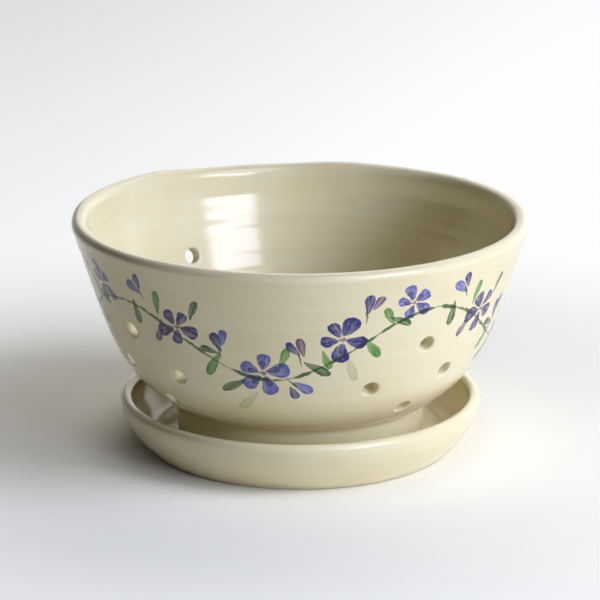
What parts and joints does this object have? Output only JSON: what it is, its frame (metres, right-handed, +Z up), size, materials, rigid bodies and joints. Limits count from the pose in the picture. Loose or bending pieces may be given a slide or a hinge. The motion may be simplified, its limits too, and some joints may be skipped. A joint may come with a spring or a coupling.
{
  "type": "berry colander bowl",
  "caption": "Hand-thrown glazed bowl pierced with drain holes for rinsing berries, standing in a saucer that catches the drips.",
  "frame": {"origin": "middle of the saucer's flat underside, where it stands on the table", "axes": "+Z up, along the axis that both pieces were thrown on; -Y is the side the picture shows"},
  "size_m": [0.178, 0.178, 0.0926],
  "materials": {
    "cream_glaze": "gloss"
  },
  "bodies": {
    "saucer": {"saucer": "cream_glaze"},
    "bowl": {"colander_bowl": "cream_glaze"}
  },
  "joints": [
    {"name": "bowl_lift", "type": "slide", "parent": "saucer", "child": "bowl", "axis": [0, 0, 1], "range_m": [0, 0.06]}
  ]
}
